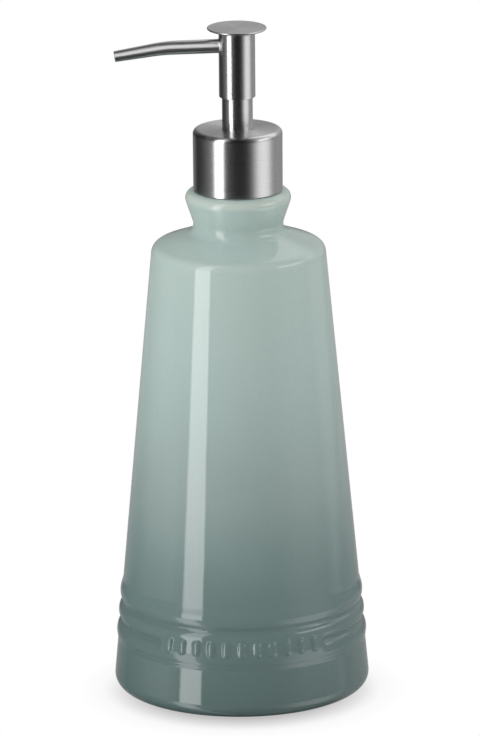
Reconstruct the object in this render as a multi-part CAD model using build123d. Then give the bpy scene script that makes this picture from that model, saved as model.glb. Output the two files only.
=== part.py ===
from build123d import *
from math import atan, cos, degrees, radians, sin, tan
import os

# Pump dispenser bottle for washing-up liquid: a glazed stoneware bottle with a steel-clad lotion pump.
# Millimetres, +Z up. The origin is the centre of the foot ring, on the surface that the bottle stands on.
# The spout points along -X and the raised band faces -Y. Every piece is a separate solid in its own node,
# and nearly all of them are turned about the Z axis. Heights are measured from the origin.

# ---- Driving dimensions: the bottle
base_radius = 46.3  # where the flank's line meets the ground
flank_taper = 0.0933  # radius that the flank loses per millimetre of height
foot_rounding = 4.6
foot_ring_radius = 38.2  # inner edge of the unglazed foot ring
foot_recess = 1.5
ring_z = 19.0  # the lowest ring's lower edge
ring_pitch = 6.5
ring_count = 3
ring_stand = 0.62  # crest of a ring over the flank
groove_depth = 0.85  # bottom of a groove under the flank
shoulder_z = 163.6
shoulder_rounding = 3.9
neck_root_radius = 15.05
neck_root_z = 169.35
neck_rounding = 4.0
rim_radius = 20.05  # where the flare's line meets the rim's top
rim_z = 184.0
rim_rounding = 2.9
wall = 4.3
floor_z = 5.5
inner_shoulder_z = 160.2
inner_neck_z = 165.8
inner_neck_rounding = 2.5
inner_shoulder_rounding = 5.0
inner_floor_rounding = 7.0
bore_radius = 11.25
mouth_chamfer = 0.8

# ---- Driving dimensions: the raised band, a smooth panel that bridges the middle groove and carries pellets
band_angle = 86  # degrees round the front
band_stand = 1.0
band_depth = 2.5  # how far the band is rooted in the wall
pellet_count = 11
pellet_step = 7.1  # degrees
pellet_radius = 2.1
pellet_length = 6.8
pellet_stand = 0.6

# ---- Driving dimensions: the steel outside of the pump
sheet = 0.6
collar_radius = 16.0
collar_top = 206.4
collar_rounding = 1.8
collar_gap = 0.15  # between the collar's lower edge and the rim
guide_radius = 5.48
tube_wall = 0.5
guide_top = 220.2
guide_foot_radius = 9.0
sleeve_radius = 6.48
sleeve_bottom = 218.1
disc_radius = 10.6
disc_top = 243.3
disc_edge = 0.7
disc_rounding = 0.3
disc_depth = 1.8  # from the disc's top to the top of the sleeve
disc_overlap = 0.4  # of the disc's flat underside beyond the sleeve
spigot_depth = 1.2
spout_z = 236.7  # height of the spout's line where it meets the axis
spout_reach = 43.45
spout_bend_x = 25.6
spout_bend_run = 4.0  # straight length that the bend takes from each side of its corner
spout_droop = 1.75  # degrees
tip_droop = 9.5  # degrees
spout_radius = 2.5
tip_radius = 1.95
spout_wall = 0.4
spout_root_x = 4.2
spout_socket_end = 10.0  # how far out the spout's hole is cut

# ---- Driving dimensions: the closure's thread, two turns to undo
thread_pitch = 4.23
thread_turns = 1.25
thread_base_width = 2.5
thread_crest_width = 1.1
thread_burial = 0.35
adapter_thread_root = 12.6
adapter_thread_crest = 13.7
liner_thread_root = 14.05
liner_thread_crest = 12.95
thread_start_z = 189.2
thread_start_angle = 30  # degrees, clear of the seams of the turned walls

# ---- Driving dimensions: the pump inside
adapter_flange_radius = 15.1
adapter_flange = 1.2
adapter_top = 196.5
adapter_bottom = 166.5
adapter_bore = 8.3
adapter_mouth = 10.8
adapter_mouth_z = 187.0
plug_radius = 10.4
seal_seat_radius = 9.7
seal_radius = 11.18
seal_height = 2.0
seal_heights = (170.5, 175.5, 180.5)
gasket = 1.0
cylinder_flange = 1.5
cylinder_radius = 7.6
cylinder_bore = 6.5
barrel_floor_skirt = 0.8
barrel_cone = 5.0
vent_radius = 0.6
vent_drop = 2.0
barrel_floor = 166.8
valve_body_radius = 4.6
dip_socket_bottom = 146.0
dip_socket_top = 156.0
dip_radius = 3.0
dip_bore = 2.2
dip_bottom = 8.0
dip_cut = 40  # degrees
dip_cutter = 30.0
inlet_throat = 1.6
inlet_seat_z = 157.5
valve_chamber = 3.3
inlet_ball_radius = 2.4
cage_depth = 3.4
cage_bore = 2.0
cage_flange = 1.0
cage_slot = 1.2
cage_slot_height = 3.2
guide_flange = 1.4
boss_bottom = 196.0
boss_top = 208.5
boss_root_radius = 4.4
boss_radius = 4.7
wiper_bottom = 203.0
wiper_top = 204.6
wiper_radius = 4.2
stem_radius = 3.4
stem_bore = 2.0
stem_top = 228.0
piston_bottom = 187.0
piston_height = 6.3
hub_radius = 4.4
hub_inset = 0.6
web_inset = 2.4
skirt_root = 5.6
skirt_edge = 5.9
skirt_waist = 0.35
lip_height = 0.8
lip_run = 1.0
plug_head_radius = 5.2
plug_head = 1.5
plug_bore = 1.2
plug_length = 5.0
spring_wire = 0.4  # radius
spring_radius = 5.0
spring_turns = 6.5
outlet_throat = 1.0
outlet_land = 1.0
outlet_seat_z = 222.0
outlet_chamber = 2.2
outlet_ball_radius = 1.6
outlet_cage_bottom = 226.3
outlet_cage_bore = 0.9
outlet_slot = 0.8
outlet_slot_height = 1.6
core_bottom = 231.9
socket_bottom = 221.0
socket_radius = 4.5
core_passage = 1.8
liner_radius = 1.45
liner_bore = 0.95
liner_tip_inset = 0.8
running_gap = 0.1
ball_gap = 0.02

# ---- Derived heights and radii
gasket_top = adapter_top + gasket
cylinder_top = gasket_top + cylinder_flange
guide_flange_top = cylinder_top + guide_flange
web_bottom = guide_flange_top + running_gap
shell_ceiling = collar_top - sheet
web_top = shell_ceiling - sheet
sleeve_bore = sleeve_radius - tube_wall
guide_bore = guide_radius - tube_wall
sleeve_top = disc_top - disc_depth
core_top = sleeve_top - spigot_depth
stem_bottom = piston_bottom
spring_top = piston_bottom - plug_head


# ---- Helpers
def turned(*corners):
    """A solid turned about Z from the corners of its half section, each (radius, height)."""
    return revolve(Plane.XZ * make_face(Polyline(*corners, close=True)), Axis.Z)


def turned_outline(edges):
    """A solid turned about Z from the edges of a closed half section."""
    return revolve(Plane.XZ * make_face(edges), Axis.Z)


def tube(outer, inner, low, high):
    """A plain ring or tube."""
    return turned((inner, low), (outer, low), (outer, high), (inner, high))


def disc(radius, low, high):
    """A plain solid disc or rod."""
    return turned((0, low), (radius, low), (radius, high), (0, high))


def flank_radius(z):
    return base_radius - flank_taper * z


def seated_ball(throat, seat_z, radius):
    """A ball on a 45 degree conical seat, whose lower edge has the throat's radius."""
    apex_z = seat_z - throat
    return Pos(0, 0, apex_z + radius / sin(radians(45)) + ball_gap) * Sphere(radius)


def thread(wall_radius, crest, first_z):
    """A helical ridge on a wall, from a base buried in the wall to its crest."""
    base = wall_radius - thread_burial if crest > wall_radius else wall_radius + thread_burial
    half_base, half_crest = thread_base_width / 2, thread_crest_width / 2
    section = make_face(
        Polyline((base, first_z - half_base), (crest, first_z - half_crest), (crest, first_z + half_crest),
                 (base, first_z + half_base), close=True)
    )
    path = Helix(thread_pitch, thread_pitch * thread_turns, wall_radius, center=(0, 0, first_z))
    return Rot(0, 0, thread_start_angle) * sweep(Plane.XZ * section, path=path, is_frenet=True)


def along_spout(radius, start, end):
    """A rod on the line of the spout's straight run, from start to end out from the axis."""
    droop = radians(spout_droop)
    line = Plane(origin=(0, 0, spout_z), z_dir=(-cos(droop), 0, -sin(droop)))
    above = (Align.CENTER, Align.CENTER, Align.MIN)
    return line * Pos(0, 0, start) * Cylinder(radius, end - start, align=above)


# ---- The bottle
def groove_point(index):
    """(radius, height) of a ring's edge: flush with the flank outside the rings, sunk between them."""
    z = ring_z + index * ring_pitch
    sunk = groove_depth if 0 < index < ring_count else 0
    return flank_radius(z) - sunk, z


def ring_edge(index):
    z = ring_z + (index + 0.5) * ring_pitch
    return ThreePointArc(groove_point(index), (flank_radius(z) + ring_stand, z), groove_point(index + 1))


def bottle_body():
    ring_inner = (foot_ring_radius, 0)
    underside = Polyline((0, foot_recess), (foot_ring_radius - foot_recess, foot_recess), ring_inner)
    foot = FilletPolyline(ring_inner, (base_radius, 0), groove_point(0), radius=foot_rounding)
    rings = [ring_edge(index) for index in range(ring_count)]
    upper = FilletPolyline(
        groove_point(ring_count),
        (flank_radius(shoulder_z), shoulder_z),
        (neck_root_radius, neck_root_z),
        (rim_radius, rim_z),
        (bore_radius + mouth_chamfer, rim_z),
        radius=[shoulder_rounding, neck_rounding, rim_rounding],
    )
    mouth = Line((bore_radius + mouth_chamfer, rim_z), (bore_radius, rim_z - mouth_chamfer))
    inside = FilletPolyline(
        (bore_radius, rim_z - mouth_chamfer),
        (bore_radius, inner_neck_z),
        (flank_radius(inner_shoulder_z) - wall, inner_shoulder_z),
        (flank_radius(floor_z) - wall, floor_z),
        (0, floor_z),
        radius=[inner_neck_rounding, inner_shoulder_rounding, inner_floor_rounding],
    )
    axis = Line((0, floor_z), (0, foot_recess))
    return turned_outline([underside, foot, *rings, upper, mouth, inside, axis])


def band():
    """The smooth panel that bridges the middle groove, centred on -Y."""
    low, high = groove_point(0), groove_point(2)
    middle_z = (low[1] + high[1]) / 2
    face = ThreePointArc(low, (flank_radius(middle_z) + band_stand, middle_z), high)
    back = Polyline(high, (high[0] - band_depth, high[1]), (high[0] - band_depth, low[1]), low)
    panel = revolve(Plane.XZ * make_face([face, back]), Axis.Z, revolution_arc=band_angle)
    return Rot(0, 0, -90 - band_angle / 2) * panel


def pellet(angle):
    """One round-ended bead of the band's row. It lies along the flank and stands a little out of the band."""
    z = ring_z + ring_pitch
    out = flank_radius(z) + band_stand + pellet_stand - pellet_radius
    rod = Cylinder(pellet_radius, pellet_length - 2 * pellet_radius)
    end_z = pellet_length / 2 - pellet_radius
    bead = rod + Pos(0, 0, end_z) * Sphere(pellet_radius) + Pos(0, 0, -end_z) * Sphere(pellet_radius)
    lean = Rot(0, -degrees(atan(flank_taper)), 0)
    return Rot(0, 0, angle) * Pos(out, 0, z) * lean * bead


def bottle():
    first = -90 - pellet_step * (pellet_count - 1) / 2
    pellets = [pellet(first + index * pellet_step) for index in range(pellet_count)]
    return bottle_body() + band() + pellets


# ---- The neck adapter and its seals
def neck_adapter():
    """Plug in the stoneware bore, flange on the rim, and the threaded neck that the closure grips."""
    flange_top = rim_z + adapter_flange
    body = turned(
        (adapter_bore, adapter_bottom), (plug_radius, adapter_bottom), (plug_radius, rim_z),
        (adapter_flange_radius, rim_z), (adapter_flange_radius, flange_top),
        (adapter_thread_root, flange_top), (adapter_thread_root, adapter_top),
        (adapter_mouth, adapter_top), (adapter_mouth, adapter_mouth_z), (adapter_bore, adapter_mouth_z),
    )
    for z in seal_heights:
        body -= tube(plug_radius + 1, seal_seat_radius, z - seal_height / 2, z + seal_height / 2)
    return body + thread(adapter_thread_root, adapter_thread_crest, thread_start_z)


def neck_seal(z):
    """A silicone ring whose round lip fills the bore."""
    half = seal_height / 2
    back = Polyline((seal_radius - half, z + half), (seal_seat_radius, z + half),
                    (seal_seat_radius, z - half), (seal_radius - half, z - half))
    lip = ThreePointArc((seal_radius - half, z - half), (seal_radius, z), (seal_radius - half, z + half))
    return turned_outline([back, lip])


# ---- The collar
def collar_shell():
    """Drawn steel cap, open below, with a hole in its top for the guide tube."""
    bottom = rim_z + collar_gap
    outside = FilletPolyline((collar_radius, bottom), (collar_radius, collar_top), (guide_radius, collar_top),
                             radius=collar_rounding)
    top_hole = Line((guide_radius, collar_top), (guide_radius, shell_ceiling))
    inside = FilletPolyline((guide_radius, shell_ceiling), (collar_radius - sheet, shell_ceiling),
                            (collar_radius - sheet, bottom), radius=collar_rounding - sheet)
    lower_edge = Line((collar_radius - sheet, bottom), (collar_radius, bottom))
    return turned_outline([outside, top_hole, inside, lower_edge])


def collar_liner():
    """Plastic closure: a threaded skirt and a web that holds the pump's flanges down."""
    outer = collar_radius - sheet - running_gap / 2
    bottom = rim_z + adapter_flange + 2 * running_gap
    corner = collar_rounding
    bore = guide_radius + running_gap
    body = turned(
        (bore, web_bottom), (liner_thread_root, web_bottom), (liner_thread_root, bottom),
        (outer, bottom), (outer, web_top - corner), (outer - corner, web_top), (bore, web_top),
    )
    return body + thread(liner_thread_root, liner_thread_crest, thread_start_z - thread_pitch / 2)


def guide_tube():
    """Steel tube with a flared foot, held between the shell and the liner's web."""
    return turned((guide_bore, web_top), (guide_foot_radius, web_top), (guide_foot_radius, shell_ceiling),
                  (guide_radius, shell_ceiling), (guide_radius, guide_top), (guide_bore, guide_top))


# ---- The pump housing
def housing_gasket():
    return tube(adapter_thread_root, cylinder_radius + running_gap, adapter_top, gasket_top)


def pump_cylinder():
    """Flange, barrel, inlet valve chamber and dip-tube socket, with a vent hole under the flange."""
    chamber_z = inlet_seat_z + valve_chamber - inlet_throat
    skirt_z = barrel_floor - barrel_floor_skirt
    body = turned(
        (cylinder_bore, cylinder_top), (adapter_thread_root, cylinder_top), (adapter_thread_root, gasket_top),
        (cylinder_radius, gasket_top), (cylinder_radius, skirt_z), (valve_body_radius, skirt_z - barrel_cone),
        (valve_body_radius, dip_socket_bottom), (dip_radius, dip_socket_bottom), (dip_radius, dip_socket_top),
        (inlet_throat, dip_socket_top), (inlet_throat, inlet_seat_z), (valve_chamber, chamber_z),
        (valve_chamber, barrel_floor), (cylinder_bore, barrel_floor),
    )
    vent_length = 4 * (cylinder_radius - cylinder_bore)
    vent = Rot(0, 90, 0) * Cylinder(vent_radius, vent_length)
    return body - Pos(cylinder_radius, 0, gasket_top - vent_drop) * vent


def stem_guide():
    """Flange on the cylinder, skirt inside it that stops the piston, and a boss that guides the stem."""
    skirt_bottom = piston_bottom + piston_height + running_gap
    guide_hole = stem_radius + running_gap
    body = turned(
        (guide_hole, boss_bottom), (boss_root_radius, boss_bottom), (boss_root_radius, skirt_bottom),
        (cylinder_bore, skirt_bottom),
        (cylinder_bore, cylinder_top), (adapter_thread_root, cylinder_top),
        (adapter_thread_root, guide_flange_top), (boss_radius, guide_flange_top),
        (boss_radius, boss_top), (guide_hole, boss_top),
    )
    return body - wiper_shape(0)


def wiper_shape(bore):
    """The wiper's ring, or with no bore the groove that it lies in."""
    return tube(wiper_radius, bore, wiper_bottom, wiper_top)


def stem_wiper():
    return wiper_shape(stem_radius + running_gap / 2)


def dip_tube():
    """Tube to the bottle's floor, with its foot cut on the slant so that it cannot seal itself off."""
    body = tube(dip_radius, dip_bore, dip_bottom, dip_socket_top)
    below = (Align.CENTER, Align.CENTER, Align.MAX)
    cutter = Box(dip_cutter, dip_cutter, dip_cutter, align=below)
    return body - Pos(0, 0, dip_bottom) * Rot(0, dip_cut, 0) * cutter


def ball_cage():
    """Slotted cup over the inlet ball. Its flange is the spring's lower seat."""
    cup_bottom = barrel_floor - cage_depth
    flange_top = barrel_floor + cage_flange
    body = turned(
        (cage_bore, cup_bottom), (valve_chamber, cup_bottom), (valve_chamber, barrel_floor),
        (cylinder_bore, barrel_floor), (cylinder_bore, flange_top), (cage_bore, flange_top),
    )
    slot = Pos(0, 0, cup_bottom) * Box(3 * valve_chamber, cage_slot, cage_slot_height)
    return body - slot - Rot(0, 0, 90) * slot


def inlet_ball():
    return seated_ball(inlet_throat, inlet_seat_z, inlet_ball_radius)


def return_spring():
    """Open coil spring between the ball cage and the piston plug."""
    low = barrel_floor + cage_flange + spring_wire
    high = spring_top - spring_wire
    path = Helix((high - low) / spring_turns, high - low, spring_radius, center=(0, 0, low))
    section = Plane(origin=path @ 0, z_dir=path % 0) * Circle(spring_wire)
    return sweep(section, path=path, is_frenet=True)


# ---- The plunger
def piston_stem():
    """Hollow stem, with the outlet valve's conical seat near its top."""
    seat_top = outlet_seat_z + outlet_chamber - outlet_throat
    land_z = outlet_seat_z - outlet_land
    return turned(
        (stem_bore, stem_bottom), (stem_radius, stem_bottom), (stem_radius, stem_top),
        (outlet_chamber, stem_top), (outlet_chamber, seat_top), (outlet_throat, outlet_seat_z),
        (outlet_throat, land_z), (stem_bore, land_z - stem_bore + outlet_throat),
    )


def piston_seal():
    """Soft piston: a hub on the stem, a web, and a skirt whose two lips wipe the cylinder."""
    lip = cylinder_bore - running_gap / 2
    waist = lip - skirt_waist
    low, high = piston_bottom, piston_bottom + piston_height
    lower_lip, upper_lip = low + lip_height, high - lip_height
    return turned(
        (stem_radius, low), (hub_radius, low), (hub_radius, low + web_inset), (skirt_root, low + web_inset),
        (skirt_edge, low), (lip, low), (lip, lower_lip), (waist, lower_lip + lip_run),
        (waist, upper_lip - lip_run), (lip, upper_lip), (lip, high), (skirt_edge, high),
        (skirt_root, high - web_inset), (hub_radius, high - web_inset), (hub_radius, high - hub_inset),
        (stem_radius, high - hub_inset),
    )


def piston_plug():
    """Hollow plug pressed into the stem. Its head carries the piston and takes the spring's push."""
    plug_top = stem_bottom + plug_length
    return turned(
        (plug_bore, spring_top), (plug_head_radius, spring_top), (plug_head_radius, stem_bottom),
        (stem_bore, stem_bottom), (stem_bore, plug_top), (plug_bore, plug_top),
    )


def outlet_ball():
    return seated_ball(outlet_throat, outlet_seat_z, outlet_ball_radius)


def outlet_cage():
    """Notched plug in the stem's mouth, which keeps the outlet ball in its chamber."""
    body = tube(outlet_chamber, outlet_cage_bore, outlet_cage_bottom, stem_top)
    notch = Pos(0, 0, outlet_cage_bottom) * Box(3 * outlet_chamber, outlet_slot, outlet_slot_height)
    return body - notch - Rot(0, 0, 90) * notch


# ---- The head
def actuator_core():
    """Plastic core in the sleeve: a socket that turns on the stem, a passage up and the way to the spout."""
    body = disc(sleeve_bore, core_bottom, core_top) + disc(socket_radius, socket_bottom, core_bottom)
    body -= disc(stem_radius + running_gap, socket_bottom, stem_top)
    body -= disc(core_passage, stem_top, spout_z + core_passage)
    body -= along_spout(spout_radius, spout_root_x, spout_socket_end)
    return body - along_spout(liner_radius, 0, spout_root_x)


def head_sleeve():
    hole = along_spout(spout_radius, spout_root_x, spout_socket_end)
    return tube(sleeve_radius, sleeve_bore, sleeve_bottom, sleeve_top) - hole


def press_disc():
    """Flat disc with a thin edge and a shallow cone below, and a spigot that closes the sleeve."""
    edge_z = disc_top - disc_edge
    seat = sleeve_radius + disc_overlap
    body = turned(
        (0, core_top), (sleeve_bore, core_top), (sleeve_bore, sleeve_top), (seat, sleeve_top),
        (disc_radius - disc_rounding, edge_z), (disc_radius, edge_z + disc_rounding), (disc_radius, disc_top),
        (0, disc_top),
    )
    top_edge = body.edges().filter_by(GeomType.CIRCLE).sort_by(Axis.Z)[-1]
    return fillet(top_edge, disc_rounding)


def spout_path(start, end):
    """The spout's centre line, out from the axis: a straight run, one gentle bend and a straight tip."""
    bend_z = spout_z - spout_bend_x * tan(radians(spout_droop))
    half_turn = radians(tip_droop - spout_droop) / 2
    return FilletPolyline(
        (-start, 0, spout_z - start * tan(radians(spout_droop))),
        (-spout_bend_x, 0, bend_z),
        (-end, 0, bend_z - (end - spout_bend_x) * tan(radians(tip_droop))),
        radius=spout_bend_run / tan(half_turn),
    )


def spout_solid(root, tip, start, end, steps=6):
    """A round bar on the spout's line, which tapers from the start of the bend to the tip."""
    path = spout_path(start, end)
    straight, bend, droop = path.edges()
    stations = [(straight, 0, root)]
    run = bend.length + droop.length
    for step in range(steps + 1):
        stations.append((bend, step / steps, root + (tip - root) * bend.length * step / steps / run))
    stations.append((droop, 1, tip))
    sections = [Plane(origin=edge @ at, z_dir=edge % at) * Circle(radius) for edge, at, radius in stations]
    return loft(sections, ruled=True)


def spout():
    past = 1
    outside = spout_solid(spout_radius, tip_radius, spout_root_x, spout_reach)
    inner_root, inner_tip = spout_radius - spout_wall, tip_radius - spout_wall
    inside = spout_solid(inner_root, inner_tip, spout_root_x - past, spout_reach + past)
    return outside - inside


def spout_liner():
    past = 1
    end = spout_reach - liner_tip_inset
    outside = spout_solid(liner_radius, liner_radius, core_passage, end)
    return outside - spout_solid(liner_bore, liner_bore, core_passage - past, end + past)


# ---- Write every node
pieces = {
    "bottle": bottle(),
    "neck_adapter": neck_adapter(),
    "collar_shell": collar_shell(),
    "collar_liner": collar_liner(),
    "guide_tube": guide_tube(),
    "housing_gasket": housing_gasket(),
    "pump_cylinder": pump_cylinder(),
    "stem_guide": stem_guide(),
    "stem_wiper": stem_wiper(),
    "dip_tube": dip_tube(),
    "ball_cage": ball_cage(),
    "inlet_ball": inlet_ball(),
    "return_spring": return_spring(),
    "piston_stem": piston_stem(),
    "piston_seal": piston_seal(),
    "piston_plug": piston_plug(),
    "outlet_ball": outlet_ball(),
    "outlet_cage": outlet_cage(),
    "actuator_core": actuator_core(),
    "head_sleeve": head_sleeve(),
    "press_disc": press_disc(),
    "spout": spout(),
    "spout_liner": spout_liner(),
}
for number, height in enumerate(seal_heights, start=1):
    pieces[f"neck_seal_{number}"] = neck_seal(height)

os.makedirs("parts", exist_ok=True)
for node, shape in pieces.items():
    export_step(shape, f"parts/{node}.step")
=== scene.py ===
import bmesh
import bpy
from math import ceil, cos, exp, pi, radians, sin, sqrt, tan
from mathutils import Matrix, Vector


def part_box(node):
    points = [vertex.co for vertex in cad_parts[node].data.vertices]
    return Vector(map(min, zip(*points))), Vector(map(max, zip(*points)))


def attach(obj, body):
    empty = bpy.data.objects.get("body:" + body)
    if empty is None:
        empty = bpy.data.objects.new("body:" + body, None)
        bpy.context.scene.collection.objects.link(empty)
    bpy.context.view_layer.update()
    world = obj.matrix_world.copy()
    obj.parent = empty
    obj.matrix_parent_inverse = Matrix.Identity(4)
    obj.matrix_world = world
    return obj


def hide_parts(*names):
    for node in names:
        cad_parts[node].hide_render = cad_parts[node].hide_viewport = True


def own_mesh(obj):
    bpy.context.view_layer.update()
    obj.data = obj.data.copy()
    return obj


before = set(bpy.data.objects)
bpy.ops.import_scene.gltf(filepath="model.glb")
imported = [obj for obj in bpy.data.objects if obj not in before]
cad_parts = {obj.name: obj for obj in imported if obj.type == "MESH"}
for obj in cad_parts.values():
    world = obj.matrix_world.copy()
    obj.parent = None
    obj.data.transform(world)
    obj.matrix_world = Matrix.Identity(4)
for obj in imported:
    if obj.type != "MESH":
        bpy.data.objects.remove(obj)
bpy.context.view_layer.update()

# A glazed stoneware pump dispenser. Outlines are half sections (radius, height) in millimetres, meshes are in
# metres. +Z is up, the spout points along -X and the raised band faces -Y, as in the frame.
MM = 0.001


# ---- Sizes that the frame gives
def round_size(node):
    """(radius, bottom, top) of a round CAD node, in millimetres."""
    low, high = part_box(node)
    return high.x / MM, low.z / MM, high.z / MM


_, _, rim_z = round_size("bottle")
collar_radius, collar_bottom, collar_top = round_size("collar_shell")
_, _, guide_top = round_size("guide_tube")
sleeve_radius, sleeve_bottom, sleeve_top = round_size("head_sleeve")
disc_radius, spigot_bottom, disc_top = round_size("press_disc")
spring_outside, spring_bottom, spring_top = round_size("return_spring")

# ---- The bottle's driving dimensions, the same as the CAD bottle's
base_radius = 46.3
flank_taper = 0.0933
foot_rounding = 4.6
foot_ring_radius = 38.2
foot_ring_rounding = 0.5
foot_recess = 1.5
ring_z = 19.0
ring_pitch = 6.5
ring_count = 3
ring_stand = 0.62
groove_depth = 0.85
shoulder_z = 163.6
shoulder_rounding = 3.9
neck_root = (15.05, 169.35)
neck_rounding = 4.0
rim_radius = 20.05
rim_rounding = 2.9
wall = 4.3
floor_z = 5.5
inner_shoulder_z = 160.2
inner_neck_z = 165.8
inner_neck_rounding = 2.5
inner_shoulder_rounding = 5.0
inner_floor_rounding = 7.0
bore_radius = 11.25
mouth_chamfer = 0.8
band_half_angle = 43  # degrees
band_stand = 1.0
bead_count = 11
bead_step = 7.1  # degrees
bead_radius = 2.1
bead_length = 6.8
bead_stand = 0.6
ring_top = ring_z + ring_count * ring_pitch
band_z = ring_z + ring_pitch

# ---- How the glaze softens the rings and the band, which the CAD bottle leaves out
ring_fullness = 2.4  # exponent of a ring's section, where 2 is a round arch and more is squarer
ring_runout = 2.5  # how far up the flank the top ring's upper side runs out
crest_drop = 0.36  # from the rings' top to the top ring's crest, as a share of the pitch
under_rings = 2.0  # how far the flank is drawn in behind the rings, so that they alone make the outside
ring_fade = 1.5  # the height over which it is drawn in
groove_fill = 1.2
band_fill = 0.35
bead_fill = 0.3
band_fade = 4  # degrees over which each end of the band fades

# ---- The steel parts' driving dimensions
sheet = 0.6
tube_wall = 0.5
guide_radius = 5.48
guide_foot_radius = 9.0
collar_rounding = 1.8
collar_taper = 0.05
disc_edge = 0.7
disc_lip = 0.3
spout_z = 236.7
spout_reach = 43.45
spout_bend_x = 25.6
spout_bend_run = 4.0
spout_droop = radians(1.75)
tip_droop = radians(9.5)
spout_radius = 2.5
tip_radius = 1.95
spout_wall = 0.4
spring_wire = 0.4
spring_turns = 6.5
fit_gap = 0.02  # between steel parts that are fitted into each other
fine_edge = 0.15
tube_edge = 0.18
soft_edge = 0.2

# ---- How fine the meshes are
wide_segments = 256
tube_segments = 192
spout_segments = 64
wire_segments = 12
spring_steps_per_turn = 48
arc_step = radians(9)
crease_angle = radians(32)


# ---- Outlines and meshes
def corner_arc(corner, before, after, rounding):
    """The points of the arc that rounds a corner, given the directions of its two sides."""
    opening = before.angle(after)
    centre = corner + (before.normalized() + after.normalized()).normalized() * rounding / sin(opening / 2)
    start = corner + before.normalized() * rounding / tan(opening / 2) - centre
    turn = pi - opening
    if before.cross(after) > 0:
        turn = -turn
    steps = max(4, ceil(abs(turn) / arc_step))
    return [centre + Matrix.Rotation(turn * step / steps, 2) @ start for step in range(steps + 1)]


def with_supports(points, closed):
    """Adds a point just inside each end of a long straight run, which keeps the shading flat along it."""
    support = 0.25
    result = []
    for index, point in enumerate(points):
        result.append(point)
        if index == len(points) - 1 and not closed:
            break
        run = points[(index + 1) % len(points)] - point
        if run.length > 6 * support:
            inset = run.normalized() * support
            result += [point + inset, point + run - inset]
    return result


def outline(*corners, closed=True):
    """An outline's points from its corners, each (radius, height) or (radius, height, rounding)."""
    points = []
    for index, corner in enumerate(corners):
        here = Vector(corner[:2])
        if len(corner) == 3:
            before = Vector(corners[index - 1][:2]) - here
            after = Vector(corners[(index + 1) % len(corners)][:2]) - here
            points += corner_arc(here, before, after, corner[2])
        else:
            points.append(here)
    return with_supports(points, closed)


def skin(name, rows, closed=False):
    """A mesh across rows of points in millimetres. A row of one point is a pole; closed joins the last row to
    the first."""
    points, starts, faces = [], [], []
    for row in rows:
        starts.append(len(points))
        points += [Vector(point) * MM for point in row]
    across = max(len(row) for row in rows)
    for index in range(len(rows) if closed else len(rows) - 1):
        pair = (index, (index + 1) % len(rows))
        for column in range(across):
            corners = []
            for row, step in ((pair[0], 0), (pair[0], 1), (pair[1], 1), (pair[1], 0)):
                corners.append(starts[row] + (column + step) % len(rows[row]) * (len(rows[row]) > 1))
            faces.append(list(dict.fromkeys(corners)))
    mesh = bpy.data.meshes.new(name)
    mesh.from_pydata(points, [], faces)
    shell = bmesh.new()
    shell.from_mesh(mesh)
    bmesh.ops.recalc_face_normals(shell, faces=shell.faces)
    shell.to_mesh(mesh)
    shell.free()
    mesh.shade_smooth()
    mesh.set_sharp_from_angle(angle=crease_angle)
    made = bpy.data.objects.new(name, mesh)
    bpy.context.scene.collection.objects.link(made)
    return made


def turned_row(radius, height, angles):
    """One row of a turned surface, or a pole where the radius is nothing."""
    if radius < 1e-6:
        return [(0, 0, height)]
    return [(radius * cos(angle), radius * sin(angle), height) for angle in angles]


def lathe(name, points, segments):
    """A solid turned about Z. Its outline is a closed loop, or starts and ends on the axis."""
    angles = [2 * pi * step / segments for step in range(segments)]
    rows = [turned_row(point[0], point[1], angles) for point in points]
    return skin(name, rows, closed=points[0][0] > 0)


# ---- Shader nodes
noise_low, noise_high = 0.3, 0.7  # the usual range of a noise texture's values


def add(tree, kind, inputs=None, **settings):
    """A new shader node. An input is a value, or another node's output socket."""
    node = tree.nodes.new("ShaderNode" + kind)
    for setting, value in settings.items():
        setattr(node, setting, value)
    for socket, value in (inputs or {}).items():
        if isinstance(value, bpy.types.NodeSocket):
            tree.links.new(value, node.inputs[socket])
        else:
            node.inputs[socket].default_value = value
    return node


def ramp(tree, factor, *stops, interpolation="LINEAR"):
    """A colour ramp's output. Each stop is (position, colour) or (position, grey)."""
    node = add(tree, "ValToRGB", {"Fac": factor})
    node.color_ramp.interpolation = interpolation
    elements = node.color_ramp.elements
    while len(elements) < len(stops):
        elements.new(0.5)
    for element, (position, colour) in zip(elements, stops):
        element.position = position
        element.color = (*colour, 1) if isinstance(colour, tuple) else (colour, colour, colour, 1)
    return node.outputs["Color"]


def tones(tree, value, dark, light):
    """From dark to light over a noise value's usual range."""
    return ramp(tree, value, (noise_low, dark), (noise_high, light))


def calc(tree, operation, first, second=0.0, third=0.0):
    """A Math node's output."""
    return add(tree, "Math", {0: first, 1: second, 2: third}, operation=operation).outputs[0]


def noise(tree, vector, scale, detail=3.0, roughness=0.5):
    """A noise texture's value, with its scale in waves a metre where the vector is in metres."""
    inputs = {"Vector": vector, "Scale": scale, "Detail": detail, "Roughness": roughness}
    return add(tree, "TexNoise", inputs).outputs["Fac"]


def spread(tree, value, low, high):
    """A noise value, mapped from its usual range to low and high."""
    limits = {"Value": value, "From Min": noise_low, "From Max": noise_high, "To Min": low, "To Max": high}
    return add(tree, "MapRange", limits).outputs["Result"]


def share_between(tree, value, start, end):
    """0 where a value is at start, 1 where it is at end, and even between them."""
    return add(tree, "MapRange", {"Value": value, "From Min": start, "From Max": end}).outputs["Result"]


def mix(tree, factor, first, second, blend_type="MIX"):
    """A Mix node's colour. first and second are each a colour or an output socket."""
    node = add(tree, "Mix", {"Factor": factor}, data_type="RGBA", blend_type=blend_type)
    for socket, value in ((node.inputs[6], first), (node.inputs[7], second)):
        if isinstance(value, bpy.types.NodeSocket):
            tree.links.new(value, socket)
        else:
            socket.default_value = (*value, 1)
    return node.outputs[2]


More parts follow.
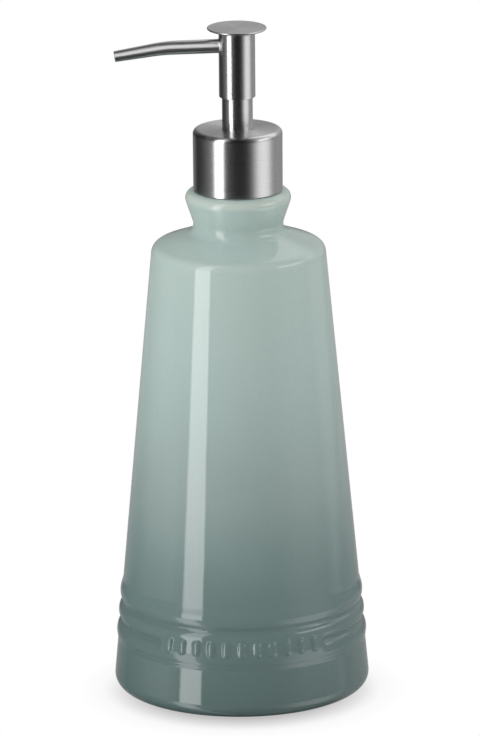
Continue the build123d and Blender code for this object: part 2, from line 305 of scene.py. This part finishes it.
def bump(tree, height, distance, strength, normal=None):
    """A Bump node's normal, over another one if it is given."""
    inputs = {"Height": height, "Distance": distance, "Strength": strength}
    if normal:
        inputs["Normal"] = normal
    return add(tree, "Bump", inputs).outputs["Normal"]


def new_material(name, **constants):
    """A material, its tree, its Principled shader and the object coordinates."""
    material = bpy.data.materials.new(name)
    material.use_nodes = True
    tree = material.node_tree
    shader = tree.nodes["Principled BSDF"]
    for socket, value in constants.items():
        shader.inputs[socket.replace("_", " ")].default_value = value
    place = add(tree, "TexCoord").outputs["Object"]
    return material, tree, shader, place


def join(tree, shader, **sockets):
    """Links outputs to the shader's sockets, which are named with _ for a space."""
    for socket, value in sockets.items():
        tree.links.new(value, shader.inputs[socket.replace("_", " ")])


# ---- Materials
def glaze_material():
    """Sprayed stoneware glaze: light mint at the neck, sage below, thinning to cream on the rim's edge, with
    a painted highlight line along the shoulder's edge. Bare clay shows under the foot."""
    material, tree, shader, place = new_material("glazed_stoneware", IOR=1.5)
    axes = add(tree, "SeparateXYZ", {"Vector": place})
    cloud = noise(tree, place, 28.0, 2.0)
    height = calc(tree, "ADD", axes.outputs["Z"], spread(tree, cloud, -0.003, 0.003))
    colour = ramp(
        tree, calc(tree, "DIVIDE", height, rim_z * MM),
        (0.0, (0.098, 0.146, 0.140)), (0.14, (0.114, 0.166, 0.160)), (0.25, (0.136, 0.196, 0.188)),
        (0.33, (0.175, 0.243, 0.233)), (0.43, (0.240, 0.303, 0.292)), (0.57, (0.308, 0.394, 0.377)),
        (0.72, (0.358, 0.450, 0.430)), (1.0, (0.404, 0.500, 0.468)), interpolation="B_SPLINE",
    )
    fine = noise(tree, place, 900.0, 2.0)
    colour = mix(tree, 1.0, colour, tones(tree, fine, 0.965, 1.0), "MULTIPLY")
    cream_and_highlight = add(tree, "Attribute", attribute_name="edge_cream_and_highlight").outputs["Fac"]
    ragged = calc(tree, "MULTIPLY", cream_and_highlight, spread(tree, noise(tree, place, 160.0, 3.0), 0.6, 1.0))
    # Cream where the glaze thins on the rim's edge; along the shoulder's edge the same cream is a painted
    # highlight line.
    colour = mix(tree, ragged, colour, (0.50, 0.54, 0.47))
    glazed_z, bare_z = 0.00008, 0.00003
    bare = share_between(tree, axes.outputs["Z"], glazed_z, bare_z)
    grain = noise(tree, place, 2600.0, 4.0, 0.6)
    clay = tones(tree, grain, (0.52, 0.46, 0.38), (0.68, 0.62, 0.53))
    colour = mix(tree, bare, colour, clay)
    gloss = spread(tree, noise(tree, place, 60.0), 0.045, 0.075)
    clay_roughness = 0.85
    roughness = add(tree, "Mix", {0: bare, 2: gloss, 3: clay_roughness}).outputs[0]
    skin_wave = bump(tree, noise(tree, place, 110.0, 1.0), 0.00025, 0.12)
    pores = bump(tree, calc(tree, "MULTIPLY", grain, bare), 0.0002, 0.6, skin_wave)
    join(tree, shader, Base_Color=colour, Roughness=roughness, Normal=pores)
    return material


def brushed_lines(tree, place, density):
    """Noise drawn out round Z, in rings on a flat face and hoops on a tube."""
    axes = add(tree, "SeparateXYZ", {"Vector": place})
    flat = add(tree, "CombineXYZ", {"X": axes.outputs["X"], "Y": axes.outputs["Y"]}).outputs[0]
    radius = add(tree, "VectorMath", {0: flat}, operation="LENGTH").outputs["Value"]
    heading = add(tree, "VectorMath", {0: flat}, operation="NORMALIZE").outputs["Vector"]
    turn = add(tree, "SeparateXYZ", {"Vector": heading})
    across = calc(tree, "MULTIPLY", calc(tree, "ADD", radius, axes.outputs["Z"]), density)
    drawn = add(tree, "CombineXYZ", {"X": turn.outputs["X"], "Y": turn.outputs["Y"], "Z": across})
    return noise(tree, drawn.outputs[0], 1.6, 4.0, 0.65)


def brushed_steel(name, anisotropy):
    """Stainless steel brushed round its axis."""
    material, tree, shader, place = new_material(
        name, Metallic=1.0, Anisotropic=anisotropy, Anisotropic_Rotation=0.25)
    coarse = brushed_lines(tree, place, 2200.0)
    hair = brushed_lines(tree, place, 9000.0)
    lines = add(tree, "Mix", {0: 0.5, 2: coarse, 3: hair}).outputs[0]
    colour = ramp(tree, lines, (0.3, (0.56, 0.56, 0.565)), (0.5, (0.60, 0.60, 0.605)),
                  (0.72, (0.645, 0.645, 0.645)))
    join(tree, shader, Base_Color=colour, Roughness=spread(tree, lines, 0.26, 0.31),
         Normal=bump(tree, lines, 0.00001, 0.025),
         Tangent=add(tree, "Tangent", direction_type="RADIAL", axis="Z").outputs[0])
    return material


def spout_finish():
    """Satin stainless tube, brushed round its line. The mesh's first texture axis runs along that line."""
    material, tree, shader, _ = new_material("brushed_spout", Metallic=1.0, Anisotropic=0.25)
    line = add(tree, "SeparateXYZ", {"Vector": add(tree, "UVMap", uv_map="line").outputs["UV"]})
    lines = noise(tree, add(tree, "CombineXYZ", {"X": line.outputs["X"]}).outputs[0], 5.0, 4.0, 0.65)
    join(tree, shader, Base_Color=tones(tree, lines, (0.55, 0.55, 0.555), (0.64, 0.64, 0.64)),
         Roughness=spread(tree, lines, 0.30, 0.34),
         Tangent=add(tree, "Tangent", direction_type="UV_MAP", uv_map="line").outputs[0])
    return material


def bright_steel():
    """Polished wire and ball steel."""
    material, tree, shader, place = new_material("bright_steel", Metallic=1.0)
    marks = noise(tree, place, 1800.0, 3.0)
    join(tree, shader, Base_Color=tones(tree, marks, (0.60, 0.60, 0.61), (0.72, 0.72, 0.73)),
         Roughness=spread(tree, marks, 0.12, 0.24))
    return material


def plastic(name, dark, light, dull, shiny):
    """Moulded plastic or rubber: faint flow clouds and a fine matt grain."""
    material, tree, shader, place = new_material(name)
    cloud = noise(tree, place, 120.0, 3.0)
    grain = noise(tree, place, 3000.0, 2.0)
    join(tree, shader, Base_Color=tones(tree, cloud, dark, light), Roughness=spread(tree, cloud, shiny, dull),
         Normal=bump(tree, grain, 0.00003, 0.3))
    return material


def clear_plastic():
    """Drawn tube of milky clear plastic, a little hazier in places along its length."""
    material, tree, shader, place = new_material("clear_tube", IOR=1.2, Transmission_Weight=0.55)
    haze = noise(tree, place, 40.0, 1.0)
    join(tree, shader, Base_Color=tones(tree, haze, (0.78, 0.83, 0.83), (0.88, 0.91, 0.91)),
         Roughness=spread(tree, haze, 0.16, 0.24))
    return material


glaze = glaze_material()
steel = brushed_steel("brushed_steel", 0.88)
disc_steel = brushed_steel("brushed_disc", 0.35)
spout_steel = spout_finish()
wire_steel = bright_steel()
white = plastic("white_plastic", (0.74, 0.74, 0.72), (0.82, 0.82, 0.80), 0.45, 0.35)
natural = plastic("natural_plastic", (0.62, 0.63, 0.60), (0.72, 0.73, 0.70), 0.40, 0.30)
clear = clear_plastic()
rubber = plastic("silicone", (0.50, 0.52, 0.52), (0.60, 0.62, 0.62), 0.60, 0.45)


def place_piece(piece, material, slot, body, *nodes):
    """Gives a piece its finish and the body it moves with, and hides the CAD nodes that it stands for."""
    piece.data.materials.append(material)
    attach(piece, body)
    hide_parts(*nodes)


# ---- The bottle
def flank(z):
    """Radius of the plain cone at a height."""
    return base_radius - flank_taper * z


def groove_point(index):
    """(radius, height) of a ring's edge: flush with the flank outside the rings, sunk between them."""
    z = ring_z + index * ring_pitch
    sunk = groove_depth if 0 < index < ring_count else 0
    return flank(z) - sunk, z


def bulge(low, high, stand):
    """A function of height: a radius that swells from low to high and stands out from the flank halfway."""
    middle = flank((low[1] + high[1]) / 2) + stand - (low[0] + high[0]) / 2

    def at(z):
        share = (z - low[1]) / (high[1] - low[1])
        return low[0] + (high[0] - low[0]) * share + middle * (1 - abs(2 * share - 1) ** ring_fullness)

    return at


def smooth_max(first, second, blend):
    """The larger of two values, with the crease where they cross filled as glaze fills it."""
    near = max(blend - abs(first - second), 0) / blend
    return max(first, second) + near * near * blend / 4


def smooth_step(value):
    """0 below 0, 1 above 1, and an S-curve between them."""
    value = min(max(value, 0), 1)
    return value * value * (3 - 2 * value)


rings = [bulge(groove_point(index), groove_point(index + 1), ring_stand) for index in range(ring_count)]
band = bulge(groove_point(0), groove_point(2), band_stand)
crest_z = ring_top - crest_drop * ring_pitch
crest_stand = rings[-1](crest_z) - flank(crest_z)


def ringed(z):
    """Radius of the outside at a height: the flank, or the rings with the grooves between them. The top
    ring's upper side runs out gently into the flank."""
    if z > crest_z:
        share = (ring_top + ring_runout - z) / (ring_top + ring_runout - crest_z)
        return flank(z) + crest_stand * smooth_step(share)
    inside = min(z - ring_z, ring_top - z) / ring_fade
    radius = flank(z) - under_rings * smooth_step(inside)
    for ring in rings:
        radius = smooth_max(radius, ring(z), groove_fill)
    return radius


def bead(z, offset):
    """Radius of the row of round-ended beads, at an offset in degrees from the front."""
    index = min(max(round(offset / bead_step), -(bead_count // 2)), bead_count // 2)
    side = radians(offset - index * bead_step) * flank(band_z)
    end = max(abs(z - band_z) - (bead_length / 2 - bead_radius), 0)
    height = sqrt(max(bead_radius ** 2 - side ** 2 - end ** 2, 0))
    return flank(z) + band_stand + bead_stand - bead_radius + height


def banded(z, offset):
    """Radius of the outside where the raised band and its beads lie over the lower rings."""
    plain = ringed(z)
    raised = smooth_max(smooth_max(plain, band(z), band_fill), bead(z, offset), bead_fill)
    return plain + (raised - plain) * smooth_step((band_half_angle - abs(offset)) / band_fade)


def column_offsets():
    """Degrees from the front for each column of the bottle's mesh, close together over the band."""
    fine_half, fine_step, coarse_step = 45.0, 0.3, 2.0
    fine = [-fine_half + fine_step * step for step in range(int(2 * fine_half / fine_step))]
    coarse = [fine_half + coarse_step * step for step in range(int((360 - 2 * fine_half) / coarse_step))]
    return fine + coarse


def bottle_rows(offsets):
    """The bottle's rows of points, from under its foot, up the outside and down the inside, and at each row
    how far the glaze thins to cream at the rim and how strong the painted highlight is on the shoulder's
    edge."""
    row_step = 0.25
    low, high = ring_z - 1.5, ring_top + ring_runout + row_step
    foot = outline(
        (0, foot_recess),
        (foot_ring_radius - foot_recess, foot_recess, foot_ring_rounding),
        (foot_ring_radius, 0, foot_ring_rounding),
        (base_radius, 0, foot_rounding),
        (flank(low), low),
        closed=False,
    )
    upper = outline(
        (flank(high), high),
        (flank(shoulder_z), shoulder_z, shoulder_rounding),
        (*neck_root, neck_rounding),
        (rim_radius, rim_z, rim_rounding),
        (bore_radius, rim_z, mouth_chamfer),
        (bore_radius, inner_neck_z, inner_neck_rounding),
        (flank(inner_shoulder_z) - wall, inner_shoulder_z, inner_shoulder_rounding),
        (flank(floor_z) - wall, floor_z, inner_floor_rounding),
        (0, floor_z),
        closed=False,
    )
    angles = [radians(offset - 90) for offset in offsets]
    rows, cream_and_highlight = [], []
    rim_crest = Vector((rim_radius - 1.6, rim_z - 1.6))
    shoulder_crest = Vector((flank(shoulder_z) - 0.5, shoulder_z - 1.2))
    # The rim's crest is glaze thinning to cream; the shoulder's crest, at a lower share, is a painted
    # highlight line.
    crests = ((rim_crest, 0.6), (shoulder_crest, 0.3))
    crest_reach = 1.5

    def keep(row, point):
        rows.append(row)
        cream_and_highlight.append(max(share * exp(-((point - crest).length / crest_reach) ** 2) for crest, share in crests))

    for point in foot:
        keep(turned_row(*point, angles), point)
    for step in range(1, round((high - low) / row_step)):
        z = low + step * row_step
        row = []
        for offset, angle in zip(offsets, angles):
            away = offset - 360 if offset > 180 else offset
            near = abs(away) < band_half_angle and ring_z < z < groove_point(2)[1]
            radius = banded(z, away) if near else ringed(z)
            row.append((radius * cos(angle), radius * sin(angle), z))
        keep(row, Vector((flank(z), z)))
    for point in upper:
        keep(turned_row(*point, angles), point)
    return rows, cream_and_highlight


def make_bottle():
    """The glazed bottle, with the rim's cream and the shoulder edge's painted highlight kept at each of its
    points.
    """
    rows, cream_and_highlight = bottle_rows(column_offsets())
    bottle = skin("stoneware_bottle", rows)
    values = [value for row, value in zip(rows, cream_and_highlight) for _ in row]
    bottle.data.attributes.new("edge_cream_and_highlight", "FLOAT", "POINT").data.foreach_set("value", values)
    place_piece(bottle, glaze, "glaze", "bottle", "bottle")


make_bottle()


# ---- The collar, guide tube and head, all turned sheet steel
def make_collar():
    hole = guide_radius + fit_gap
    inner = collar_radius - sheet
    hole_edge = 0.1
    shell = lathe("steel_collar", outline(
        (collar_radius - collar_taper, collar_bottom, soft_edge),
        (collar_radius, collar_top, collar_rounding),
        (hole, collar_top, fine_edge),
        (hole, collar_top - sheet, hole_edge),
        (inner, collar_top - sheet, collar_rounding - sheet),
        (inner, collar_bottom, soft_edge),
    ), wide_segments)
    place_piece(shell, steel, "brushed_steel", "collar", "collar_shell")


def make_guide():
    bore = guide_radius - tube_wall
    foot_top = collar_top - sheet - fit_gap
    foot_bottom = foot_top - sheet
    tube = lathe("steel_guide_tube", outline(
        (bore, foot_bottom, soft_edge),
        (guide_foot_radius, foot_bottom, fine_edge),
        (guide_foot_radius, foot_top, fine_edge),
        (guide_radius, foot_top, fine_edge),
        (guide_radius, guide_top, tube_edge),
        (bore, guide_top, tube_edge),
    ), tube_segments)
    place_piece(tube, steel, "brushed_steel", "collar", "guide_tube")


def make_sleeve():
    bore = sleeve_radius - tube_wall
    lower_edge = 0.22
    sleeve = lathe("steel_head_sleeve", outline(
        (bore, sleeve_bottom, tube_edge),
        (sleeve_radius, sleeve_bottom, lower_edge),
        (sleeve_radius, sleeve_top, fine_edge),
        (bore, sleeve_top, fine_edge),
    ), tube_segments)
    place_piece(sleeve, steel, "brushed_steel", "head", "head_sleeve")


def make_disc():
    """The press disc, thinner towards its edge, with the spigot under it that plugs the sleeve."""
    spigot = sleeve_radius - tube_wall - fit_gap
    edge_z = disc_top - disc_edge
    top_edge = 0.28
    disc = lathe("steel_press_disc", outline(
        (0, spigot_bottom),
        (spigot, spigot_bottom, soft_edge),
        (spigot, sleeve_top),
        (sleeve_radius, sleeve_top),
        (disc_radius - disc_lip, edge_z, disc_lip),
        (disc_radius, edge_z + disc_lip, fine_edge),
        (disc_radius, disc_top, top_edge),
        (0, disc_top),
        closed=False,
    ), wide_segments)
    place_piece(disc, disc_steel, "brushed_steel", "head", "press_disc")


make_collar()
make_guide()
make_sleeve()
make_disc()


# ---- The spout
def spout_line(run):
    """(point, direction) on the spout's centre line, at a distance out from the axis along it."""
    root = Vector((0, 0, spout_z))
    first = Vector((-cos(spout_droop), 0, -sin(spout_droop)))
    down = Vector((sin(spout_droop), 0, -cos(spout_droop)))
    last = Vector((-cos(tip_droop), 0, -sin(tip_droop)))
    bend_start = spout_bend_x / cos(spout_droop) - spout_bend_run
    bend_radius = spout_bend_run / tan((tip_droop - spout_droop) / 2)
    bend_length = bend_radius * (tip_droop - spout_droop)
    if run < bend_start:
        return root + first * run, first
    turned = min((run - bend_start) / bend_radius, tip_droop - spout_droop)
    droop = spout_droop + turned
    direction = Vector((-cos(droop), 0, -sin(droop)))
    along = bend_start + bend_radius * sin(turned)
    point = root + first * along + down * bend_radius * (1 - cos(turned))
    return point + last * max(run - bend_start - bend_length, 0), direction


def spout_ring(run, radius):
    """A ring of points square to the spout's line."""
    point, direction = spout_line(run)
    side = Vector((0, 1, 0))
    up = side.cross(direction)
    ring = []
    for step in range(spout_segments):
        angle = 2 * pi * step / spout_segments
        ring.append(point + side * radius * cos(angle) + up * radius * sin(angle))
    return ring


def spout_length():
    """The length of the spout's line, out to its reach."""
    run = spout_reach
    while -spout_line(run)[0].x < spout_reach:
        run += 0.01
    return run


def weld_ring(share, weld, weld_run):
    """A ring of points on the weld: on the sleeve's side at share 0, clear of it with no flare at share 1."""
    sunk = 0.1
    ring = spout_ring(0, spout_radius + weld * (1 - share) ** 2)
    direction = spout_line(0)[1]
    for index, point in enumerate(ring):
        out = sqrt(max(sleeve_radius ** 2 - point.y ** 2, 0)) - sunk + weld_run * share
        ring[index] = point + direction * out
    return ring


def spout_rows():
    """The spout's rings: the weld, out along the outside, round the tip and back along the bore."""
    length = spout_length()
    taper_start = spout_bend_x - spout_bend_run
    saddle = sqrt(sleeve_radius ** 2 - spout_radius ** 2)
    weld, weld_run, weld_steps, past_weld = 0.18, 0.6, 6, 0.6
    past_saddle = 1
    steps = 36
    edge = 0.12

    def radius_at(run):
        return spout_radius + (tip_radius - spout_radius) * max(run - taper_start, 0) / (length - taper_start)

    rows = [weld_ring(step / weld_steps, weld, weld_run) for step in range(weld_steps + 1)]
    start = sleeve_radius + weld_run + past_weld
    for step in range(steps + 1):
        run = start + (length - edge - start) * step / steps
        rows.append(spout_ring(run, radius_at(run)))
    rows.append(spout_ring(length, tip_radius - edge))
    rows.append(spout_ring(length, tip_radius - spout_wall + edge))
    for step in range(steps + 1):
        run = length - edge - (length - edge - saddle + past_saddle) * step / steps
        rows.append(spout_ring(run, radius_at(run) - spout_wall))
    return rows


def make_spout():
    """The bent, tapering tube. Its texture axes run out from the pump's axis and round the tube."""
    rows = spout_rows()
    spout = skin("steel_spout", rows, closed=True)
    line = spout.data.uv_layers.new(name="line")
    for loop in spout.data.loops:
        row, column = divmod(loop.vertex_index, spout_segments)
        point = Vector(rows[row][column])
        line.data[loop.index].uv = (-point.x, column / spout_segments)
    place_piece(spout, spout_steel, "brushed_steel", "head", "spout")


make_spout()


# ---- The return spring, built at full length; the real one shortens as the head goes down, and nothing here does that
def spring_ring(share):
    """(centre, ring of points round it) of the wire, at a share of the coil's length from its foot."""
    angle = 2 * pi * spring_turns * share
    out = Vector((cos(angle), sin(angle), 0))
    rise = (spring_top - spring_bottom - 2 * spring_wire) * share
    centre = out * (spring_outside - spring_wire) + Vector((0, 0, spring_bottom + spring_wire + rise))
    ring = []
    for step in range(wire_segments):
        around = 2 * pi * step / wire_segments
        ring.append(centre + (out * cos(around) + Vector((0, 0, sin(around)))) * spring_wire)
    return centre, ring


def make_spring():
    steps = round(spring_turns * spring_steps_per_turn)
    stations = [spring_ring(step / steps) for step in range(steps + 1)]
    rows = [[stations[0][0]], *[ring for _, ring in stations], [stations[-1][0]]]
    spring = skin("coil_spring", rows)
    place_piece(spring, wire_steel, "bright_steel", "housing", "return_spring")
    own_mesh(spring)


make_spring()

# ---- Finishes for the CAD nodes that stay
finishes = {
    "neck_adapter": white,
    "neck_seal_1": rubber,
    "neck_seal_2": rubber,
    "neck_seal_3": rubber,
    "collar_liner": white,
    "housing_gasket": rubber,
    "pump_cylinder": natural,
    "stem_guide": white,
    "stem_wiper": rubber,
    "dip_tube": clear,
    "ball_cage": natural,
    "inlet_ball": wire_steel,
    "piston_stem": white,
    "piston_seal": rubber,
    "piston_plug": white,
    "outlet_ball": wire_steel,
    "outlet_cage": natural,
    "actuator_core": white,
    "spout_liner": natural,
}
for node, finish in finishes.items():
    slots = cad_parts[node].data.materials
    slots.clear()
    slots.append(finish)


# ---- The studio
def azimuth_ramp(tree, direction, *stops):
    """Grey by the direction round Z, in degrees to the right of -Y."""
    ahead = calc(tree, "MULTIPLY", direction.outputs["Y"], -1.0)
    azimuth = calc(tree, "ARCTAN2", direction.outputs["X"], ahead)
    turn = share_between(tree, azimuth, -pi, pi)
    return ramp(tree, turn, *[(degrees / 360 + 0.5, grey) for degrees, grey in stops])


def height_ramp(tree, direction, *stops):
    """A value by the height of the direction over the horizon, in degrees."""
    curve = add(tree, "FloatCurve", {"Value": direction.outputs["Z"]})
    mapping = curve.mapping
    mapping.clip_min_x, mapping.clip_max_x, mapping.clip_min_y, mapping.clip_max_y = -1, 1, 0, 10
    mapping.extend = "HORIZONTAL"
    points = mapping.curves[0].points
    while len(points) < len(stops):
        points.new(0, 0)
    for point, (degrees, value) in zip(points, stops):
        point.location = (sin(radians(degrees)), value)
        point.handle_type = "VECTOR"
    mapping.update()
    return curve.outputs["Value"]


def panel_grey(tree, direction):
    """The grey panels and dark gaps that stand round the object, and the paler backdrop behind it."""
    panels = azimuth_ramp(
        tree, direction,
        (-180, 0.42), (-150, 0.25), (-128, 0.02), (-100, 0.03), (-80, 0.18), (-66, 0.50), (-45, 0.40),
        (-33, 0.22), (-18, 0.09), (-4, 0.03), (16, 0.03), (28, 0.11), (38, 0.36), (47, 0.96), (57, 1.5),
        (76, 1.58), (88, 1.30), (98, 0.72), (110, 0.30), (150, 0.36), (180, 0.42),
    )
    backdrop = azimuth_ramp(
        tree, direction,
        (-180, 0.75), (-170, 0.30), (-155, 0.05), (-110, 0), (100, 0), (125, 0.8), (150, 1.1), (172, 1.1),
        (180, 0.75),
    )
    upright = height_ramp(
        tree, direction, (-46, 0.12), (-38, 1), (-12.5, 1), (-10, 0.25), (48, 0.3), (62, 0.10))
    behind = height_ramp(tree, direction, (-12, 0), (6, 0.38), (24, 0.42), (36, 1.2), (60, 1.2), (72, 0))
    return calc(tree, "MULTIPLY_ADD", panels, upright, calc(tree, "MULTIPLY", backdrop, behind))


def lamp_glow(tree, direction):
    """The bright lamps in the gloss: a tall strip to the left with its foot below it, one overhead to the
    right, and a low one on each side."""
    strip = azimuth_ramp(tree, direction, (-180, 0), (-58.6, 0), (-57.4, 1), (-37.8, 1), (-36.6, 0), (180, 0))
    height = height_ramp(
        tree, direction,
        (-12.5, 0), (-11, 5.0), (8, 5.0), (16, 3.0), (46, 3.0), (52, 1.4), (66, 1.4), (71, 0),
    )
    low_strip = azimuth_ramp(tree, direction, (-180, 0), (-68, 0), (-63, 1), (-46, 1), (-42, 0), (180, 0))
    low_height = height_ramp(tree, direction, (-62, 0.5), (-48, 1.0), (-40, 2.5), (-14, 2.5), (-12, 0))
    overhead = azimuth_ramp(
        tree, direction,
        (-180, 0), (52, 0), (60, 1), (88, 1), (100, 0.3), (125, 0.3), (135, 0), (180, 0),
    )
    above = height_ramp(tree, direction, (17, 0), (20, 2.8), (31, 2.8), (35, 0))
    sides = azimuth_ramp(
        tree, direction,
        (-180, 0), (-130, 0), (-118, 0.10), (-100, 0.3), (-72, 0.60), (-60, 0), (92, 0), (108, 0.5),
        (140, 0.3), (150, 0), (180, 0),
    )
    low = height_ramp(tree, direction, (-11.6, 0), (-10.8, 1), (-8.0, 1), (-7.0, 0))
    glow = calc(tree, "MULTIPLY_ADD", strip, height, calc(tree, "MULTIPLY", overhead, above))
    glow = calc(tree, "MULTIPLY_ADD", sides, low, glow)
    return calc(tree, "MULTIPLY_ADD", low_strip, low_height, glow)


def white_light(tree, strength):
    """A white Background shader."""
    return add(tree, "Background", {"Color": (1, 1, 1, 1), "Strength": strength}).outputs[0]


def studio_world():
    """White to the camera and even white light on what is matt. Only what shines reflects the panels."""
    world = bpy.data.worlds.new("studio")
    bpy.context.scene.world = world
    world.use_nodes = True
    tree = world.node_tree
    tree.nodes.clear()
    direction = add(tree, "SeparateXYZ", {"Vector": add(tree, "TexCoord").outputs["Generated"]})
    reflected = white_light(tree, panel_grey(tree, direction))
    glow = white_light(tree, lamp_glow(tree, direction))
    both = add(tree, "AddShader", {0: reflected, 1: glow}).outputs[0]
    soft_strength, seen_strength = 0.78, 1.0
    soft = white_light(tree, soft_strength)
    seen = white_light(tree, seen_strength)
    rays = add(tree, "LightPath")
    lit = add(tree, "MixShader", {0: rays.outputs["Is Glossy Ray"], 1: soft, 2: both}).outputs[0]
    shown = add(tree, "MixShader", {0: rays.outputs["Is Camera Ray"], 1: lit, 2: seen}).outputs[0]
    add(tree, "OutputWorld", {"Surface": shown})


def floor_material():
    """A floor that glows white to the camera, except for a soft shadow that is drawn round the foot and falls
    a little to the front."""
    material, tree, shader, place = new_material("white_floor", Roughness=1.0, Specular_IOR_Level=0.0)
    to_front = (0.0, 0.008, 0.0)
    shadow_start, shadow_end = 0.036, 0.060
    away = add(tree, "VectorMath", {0: place, 1: to_front}, operation="ADD").outputs[0]
    reach = add(tree, "VectorMath", {0: away}, operation="LENGTH").outputs["Value"]
    shadow = share_between(tree, reach, shadow_start, shadow_end)
    tone = ramp(
        tree, shadow,
        (0.0, (0.53, 0.52, 0.525)), (0.17, (0.66, 0.645, 0.65)), (0.30, (0.755, 0.745, 0.748)),
        (0.48, (0.895, 0.89, 0.892)), (0.60, (0.955, 0.953, 0.954)), (1.0, (1.0, 1.0, 1.0)),
    )
    shown = add(tree, "Emission", {"Color": tone})
    seen = add(tree, "LightPath").outputs["Is Camera Ray"]
    both = add(tree, "MixShader", {0: seen, 1: shader.outputs[0], 2: shown.outputs[0]})
    tree.links.new(both.outputs[0], tree.nodes["Material Output"].inputs["Surface"])
    join(tree, shader, Base_Color=tone)
    return material


def make_floor():
    half = 4.0
    corners = [(-half, -half, 0), (half, -half, 0), (half, half, 0), (-half, half, 0)]
    mesh = bpy.data.meshes.new("floor")
    mesh.from_pydata(corners, [], [(0, 1, 2, 3)])
    floor = bpy.data.objects.new("floor", mesh)
    bpy.context.scene.collection.objects.link(floor)
    mesh.materials.append(floor_material())
    floor.visible_glossy = False


def soft_light(name, azimuth, elevation, distance, size, power):
    """A square area light that faces the object and shades it softly, without showing in its gloss. Its
    angles are in degrees, to the right of -Y and over the horizon."""
    data = bpy.data.lights.new(name, "AREA")
    data.size = size
    data.energy = power
    light = bpy.data.objects.new(name, data)
    bpy.context.scene.collection.objects.link(light)
    target = Vector((0, 0, 0.12))
    azimuth, elevation = radians(azimuth), radians(elevation)
    away = Vector((sin(azimuth) * cos(elevation), -cos(azimuth) * cos(elevation), sin(elevation)))
    light.location = target + away * distance
    light.rotation_euler = away.to_track_quat("Z", "Y").to_euler()
    light.visible_glossy = False
    light.visible_camera = False
    return light


def front_light():
    """A broad light above the front, which lights the spout alone and shows in its gloss."""
    light = soft_light("front", azimuth=0, elevation=30, distance=1.3, size=1.3, power=6.0)
    light.visible_glossy = True
    lit = bpy.data.collections.new("lit_from_front")
    lit.objects.link(bpy.data.objects["steel_spout"])
    light.light_linking.receiver_collection = lit


def make_camera():
    """A long lens about three metres away, looking 15.5 degrees down, with the horizon slightly tilted."""
    data = bpy.data.cameras.new("camera")
    data.sensor_width = 36.0
    data.lens = 410.6
    data.clip_end = 20.0
    camera = bpy.data.objects.new("camera", data)
    bpy.context.scene.collection.objects.link(camera)
    pitch, roll, yaw = 0.2712, -0.0083, -0.00006
    distance, height = 2.9, 0.9242
    aim = (Matrix.Rotation(yaw, 4, "Z") @ Matrix.Rotation(pi / 2 - pitch, 4, "X")
           @ Matrix.Rotation(roll, 4, "Z"))
    camera.matrix_world = Matrix.Translation((0, -distance, height)) @ aim
    bpy.context.scene.camera = camera


studio_world()
make_floor()
soft_light("key", azimuth=-70, elevation=10, distance=1.5, size=0.9, power=9.6)
soft_light("fill", azimuth=118, elevation=15, distance=1.6, size=0.9, power=2.6)
soft_light("top", azimuth=40, elevation=55, distance=1.5, size=0.8, power=3.6)
front_light()
make_camera()
bpy.context.scene.view_settings.view_transform = "Standard"
